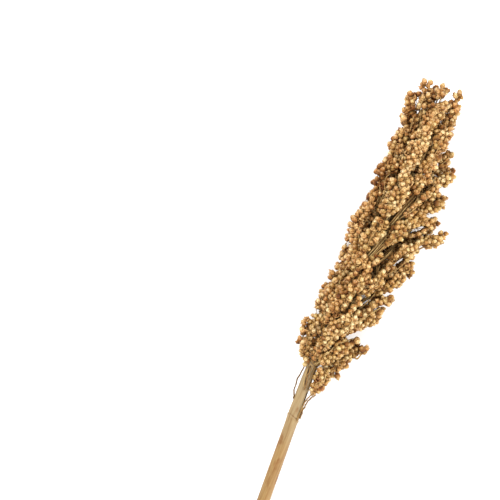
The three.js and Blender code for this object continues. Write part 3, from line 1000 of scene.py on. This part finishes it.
def settle(places):
    """Pushes all grains of the head apart, those of neighbouring branches too. In each round a
    pair moves apart by a share of what is missing, and the partings and the stalk stay clear."""
    for _ in range(SETTLING_ROUNDS):
        tree = KDTree(len(places))
        for index, point in enumerate(places):
            tree.insert(point, index)
        tree.balance()
        near = [[found[1] for found in tree.find_range(point, SPACING)] for point in places]
        first = np.repeat(np.arange(len(places)), [len(found) for found in near])
        second = np.concatenate(near)
        pair = first != second
        first, second = first[pair], second[pair]
        apart = places[first] - places[second]
        distance = np.linalg.norm(apart, axis=1, keepdims=True)
        moves = np.zeros_like(places)
        np.add.at(moves, first, apart / distance * (SPACING - distance) * SETTLING_PUSH)
        places = part(off_the_stalk(places + moves), drop=False)
        places[:, 2] = np.maximum(places[:, 2], FLOOR_GAP)
    return places


every_place = settle(np.concatenate([places for places, _, _ in packed]))
every_place += head_rng.normal(0, JITTER, every_place.shape)
every_place[:, 2] = np.maximum(every_place[:, 2], FLOOR_GAP)
settled = np.split(every_place, np.cumsum(counts)[:-1])
print("the head's grains reach", (np.ptp(every_place, axis=0) / MM).round(), "mm along, across and up")

# %% [markdown]
# ## Stems inside a branch
#
# A branch is a few thin stems side by side, from the stalk to its tip. It sends a twig to the
# middle of each cluster, and from the twig a fine stalk goes to the base of every grain. Most
# of this is hidden, but it is what shows wherever the grains part.

# %% Stems inside a branch
COLLAR_ALONG = 49  # from the node ring to the collar, where the lowest branches leave, in mm


def branch_line(node, rows=7):
    """The branch's middle line, from its foot on the central stem."""
    points, _ = read_solid(node)
    middle, radius = stalk_at(points[:, 0])
    distance = np.linalg.norm(points[:, 1:] - middle, axis=1) - radius
    line = end_to_end(node, rows, points[np.argmin(distance)])
    return resample(line, 24)


def bowed(starts, ends, along, rows, bend):
    """Paths from starts to ends. The start leaves in the direction along, so the middle point
    is moved that way by the bend's share of the path's length."""
    t = np.linspace(0, 1, rows)[None, :, None]
    reach = np.linalg.norm(ends - starts, axis=1)[:, None, None]
    lift = along[:, None] * reach * bend * (4 * t * (1 - t))
    return starts[:, None] * (1 - t) + ends[:, None] * t + lift


def rooted(line, turns, runs, spread, rng):
    """Strands that run up the stalk's skin and then join the branch. On the stalk a strand's
    angle is the foot's angle plus its turn, which shrinks on the way up, and it rises out of
    the skin at its start, well above the collar. On the branch it lies beside the line by a fading
    amount."""
    share = np.linspace(0, 0.92, 9)
    foot = line[0]
    collar = RING_X + COLLAR_ALONG * MM
    runs = np.minimum(runs, max(0.35 * (foot[0] - collar), 3 * MM))
    x = foot[0] - runs[:, None] * (1 - share)
    middle, _ = stalk_at(foot[0])
    home = math.atan2(foot[2] - middle[1], foot[1] - middle[0])
    angle = home + turns[:, None] * (1 - 0.6 * share)
    lift = (-0.5 + 1.1 * np.clip(share / 0.3, 0, 1) + 0.5 * share) * MM
    lower = on_stalk(x, angle, lift)
    rest = line[3::3]
    fade = np.linspace(1, 0.3, len(rest))[None, :, None]
    upper = rest + unit(rng.normal(0, 1, (len(turns), 1, 3))) * spread[:, None, None] * fade
    return np.stack([resample(path, 40) for path in np.concatenate([lower, upper], 1)])


def stray_stem(tree, line, rng):
    """A thin stem that lies over the grains. From points along the branch's line a ray goes up
    to the surface of its solid, and the stem passes just over each place that the rays meet."""
    first, last = int(rng.integers(1, 8)), int(rng.integers(14, 22))
    along = line[first : last : 2]
    outward = unit(rng.normal(0, 0.25, 3) + [0, 0, 1])
    hits = [tree.ray_cast(Vector(point), Vector(outward))[0] for point in along]
    reach = [(hit - Vector(point)).length if hit else 2 * MM for hit, point in zip(hits, along)]
    smooth = np.convolve(np.pad(reach, 1, "edge"), [0.25, 0.5, 0.25], "valid")
    over = along + outward * (smooth + 1.1 * MM)[:, None]
    return resample(np.concatenate([[line[0]], over, [along[-1]]]), 24)[None]


# %% Growing the stems
def grow_stems(made, tree, line, middles, bases, rng):
    """The stems of one branch: the main ones, one stray one, a twig to each cluster's middle,
    and from halfway along the twig a fine stalk to each grain's base."""
    run = unit(np.gradient(line, axis=0))
    turns = np.array([0.0, 0.35, -0.35, 0.7, -0.7]) + rng.normal(0, 0.12, 5)
    runs = rng.uniform(16, 40, 5) * MM
    beside = rooted(line, turns, runs, np.array([0, 1.2, 1.2, 1.8, 1.8]) * MM, rng)
    thick = np.array([0.75, 0.5, 0.45, 0.4, 0.36])[:, None] * np.linspace(1, 0.55, beside.shape[1]) * MM
    made.add(tubes(beside, thick, 6), STEM, tone=0.25 + 0.7 * rng.random(5))
    stray = stray_stem(tree, line, rng)
    stray_radius = np.full(stray.shape[:2], 0.3 * MM)
    made.add(tubes(stray, stray_radius, 5), STEM, tone=0.6 + 0.4 * rng.random())
    reach = np.linalg.norm(middles[:, None] - line[None], axis=2)
    leaves = np.clip(reach.argmin(1) - 4, 0, len(line) - 1)
    twigs = bowed(line[leaves], middles, run[leaves], 6, 0.12)
    owner = np.linalg.norm(bases[:, None] - middles[None], axis=2).argmin(1)
    used = np.unique(owner)
    twig_radius = np.linspace(0.5, 0.32, 6)[None].repeat(len(used), 0) * MM
    made.add(tubes(twigs[used], twig_radius, 5), STEM, tone=rng.random(len(used)))
    starts = twigs[owner, 3]
    direction = unit(middles - line[leaves])[owner]
    stalks = bowed(starts, bases, direction, 4, 0.15)
    stalk_radii = np.array([0.26, 0.22, 0.24, 0.34])[None].repeat(len(bases), 0) * MM
    made.add(tubes(stalks, stalk_radii, 4), STEM, tone=rng.random(len(bases)))


# %% [markdown]
# ## Stems that show between the grains
#
# In the partings, bundles of straw run side by side: the stems of the branches further up.
# Each bundle is a few tubes on one shallow arch, whose two ends dive under the grains.

# %% Stems that show between the grains
# From and to (along and across the head), height over the table, all in mm, and how many.
BUNDLES = (
    ((152, -3), (190, -17), 44, 5),
    ((152, -13), (175, -24), 40, 2),
    ((188, -10), (228, -24), 45, 3),
    ((250, -15), (276, -19), 45, 2),
    ((108, -14), (138, -27), 33, 1),
    ((86, -13), (126, -29), 32, 3),
    ((100, -3), (126, -9), 38, 2),
    ((300, -22), (322, -24), 30, 2),
    ((56, -2), (72, -9), 38, 2),
    ((184, -38), (194, -52), 22, 2),
    ((212, 3), (236, -6), 48, 2),
)
BUNDLE_ROWS = 30
DIVE = 9 * MM


def bundle(start, end, height, count, rng):
    """Tubes from start to end, side by side. The height at the share t of the way is the given
    height less a dive times |2t - 1| to the fourth, and a slow sine sways each tube."""
    t = np.linspace(0, 1, BUNDLE_ROWS)[None]
    (x0, y0), (x1, y1) = in_head(*start), in_head(*end)
    across = unit(np.array([y0 - y1, x1 - x0]))
    beside = ((np.arange(count) - (count - 1) / 2) * 1.45 + rng.normal(0, 0.35, count))[:, None] * MM
    spread = beside * (0.8 + 0.6 * t) + 0.5 * MM * np.sin(t * 5 + rng.random((count, 1)) * 6)
    x = x0 + (x1 - x0) * t + across[0] * spread
    y = y0 + (y1 - y0) * t + across[1] * spread
    z = height * MM + rng.normal(0, 0.8, (count, 1)) * MM - DIVE * np.abs(2 * t - 1) ** 4
    return np.stack([x, y, np.broadcast_to(z, x.shape)], -1)


def make_bundles():
    rng = np.random.default_rng(33)
    made = Surfaces()
    for start, end, height, count in BUNDLES:
        paths = bundle(start, end, height, count, rng)
        radii = rng.uniform(0.36, 0.62, (count, 1)) * np.linspace(1.1, 0.8, BUNDLE_ROWS) * MM
        made.add(tubes(paths, radii, 7), 0, tone=0.45 + 0.5 * rng.random(count))
    return place(made.mesh("branch_stems", [BRANCH_FINISHES[STEM]]), "stalk", "stalk")


stems = make_bundles()
print("stems between the grains:", len(stems.data.polygons), "faces")

# %% [markdown]
# ## Growing the branches
#
# Each grain points outwards and a little up the branch. Most husks hold a full grain. Some
# closed over a small one, and a few are open and empty. A branch is one mesh with three
# materials, since the grains, husks and stems of a branch never move apart.

# %% Growing the branches
EMPTY_BELOW = 0.1  # of the chance drawn for each grain: under it the husk is empty
CLOSED_ABOVE = 0.87  # and over this the husk closed over a small grain
SPIKED_SHARE = 0.35  # of the grains have a slim husk beside them


def perpendicular(axes, rng):
    """Random directions square to the axes."""
    return unit(np.cross(axes, unit(rng.normal(0, 1, axes.shape))))


def blush_of(places, rng):
    """Grains on the side that faced the sun are pinker, and so are those near the tip: a slope
    across the head and one along it, and chance."""
    across = (places[:, 1] - head_middle[1]) / (HEAD_HALF_WIDTH * 2)
    along = (places[:, 0] - head_middle[0]) / (HEAD_HALF_LENGTH * 2)
    slope = 0.5 + 0.5 * across + 0.25 * along
    return (slope + rng.normal(0, 0.1) + rng.normal(0, 0.26, len(places))).clip(0, 1)


def grow_branch(node, places, middles, tree, seed):
    """One piece for a branch. A grain's axis is 0.9 * outward from the branch's line + 0.7 *
    up the line + chance, and its size, tone and shape vary about their means."""
    rng = np.random.default_rng(seed)
    line = branch_line(node)
    away = places[:, None] - line[None]
    nearest = np.linalg.norm(away, axis=2).argmin(1)
    upward = unit(np.gradient(line, axis=0))[nearest]
    outward = unit(places - line[nearest])
    count = len(places)
    # Which way each grain points, what kind it is, and its size and colour.
    axes = unit(0.9 * outward + 0.7 * upward + rng.normal(0, 0.5, (count, 3)))
    sides = perpendicular(axes, rng)
    kind = rng.random(count)
    empty, closed = kind < EMPTY_BELOW, kind > CLOSED_ABOVE
    full = ~empty & ~closed
    radii = GRAIN_RADIUS * rng.normal(0.99, 0.1, count).clip(0.78, 1.18) * np.where(closed, 0.82, 1)
    tone = (0.5 + rng.normal(0, 0.08) + rng.normal(0, 0.22, count)).clip(0, 1)
    blush = blush_of(places, rng)
    cover = np.where(full, rng.normal(1.02, 0.26, count), rng.normal(1.25, 0.12, count)).clip(0.4, 1.5)
    flare = rng.normal(0.14, 0.1, count) + np.where(empty, 0.15, 0) - np.where(closed, 0.2, 0)
    made = Surfaces()
    # The grains, each a dented shell.
    sizes = radii * np.where(full, 0.95, np.where(empty, 0.45, 0.85))
    lengths = rng.normal(1.2, 0.14, count)
    dents = rng.normal(0, 0.065, (count, len(KERNEL_ROWS), KERNEL_COLUMNS))
    shells = kernels(places, axes, sides, sizes, lengths, rng.normal(0, 0.1, count), dents)
    # The height on the grain, 0 at its base and 1 at its crown, sets its painted shade and painted
    # highlight.
    height = np.broadcast_to(((1 - np.cos(KERNEL_ROWS)) / 2)[None, :, None], shells.shape[:3])
    kernel_tone = np.where(empty, 0.05, tone)
    made.add(shells, GRAIN, tone=kernel_tone, blush=blush, height=height)
    # The husks round them.
    wear = rng.normal(0, 0.22, (count, HUSK_COLUMNS))
    cups = husks(places, axes, sides, radii, cover, flare, wear)
    # The rise on the husk sets its painted shade at the foot and inside the cup, and its pale tips.
    rise = np.broadcast_to(HUSK_RISE[None, :, None], cups.shape[:3])
    husk_tone = (tone + rng.normal(0, 0.18, count)).clip(0, 1)
    made.add(cups, HUSK, tone=husk_tone, blush=blush, height=rise)
    # The slim husks, and the stems that carry all of it.
    feet = places - axes * radii[:, None] * 1.1
    spiked = rng.random(count) < SPIKED_SHARE
    pointing = unit(axes + 0.55 * sides + rng.normal(0, 0.15, axes.shape))[spiked]
    lengths = rng.uniform(4.2, 6.0, spiked.sum()) * MM
    points = spikes(feet[spiked], pointing, perpendicular(pointing, rng), lengths)
    made.add(points, HUSK, tone=husk_tone[spiked], blush=blush[spiked], height=0.8)
    grow_stems(made, tree, line, middles, feet, rng)
    return place(made.mesh(node.replace("seed_branch", "grain_branch"), BRANCH_FINISHES), "grain", node)


head_middle = every_place.mean(0)
HEAD_HALF_LENGTH, HEAD_HALF_WIDTH = np.ptp(every_place[:, :2], axis=0) / 2
branches = [
    grow_branch(node, places, middles, tree, 100 + number)
    for number, (node, places, (_, middles, tree)) in enumerate(zip(BRANCH_NODES, settled, packed))
]
print(len(branches), "branches with", sum(len(o.data.polygons) for o in branches), "faces")
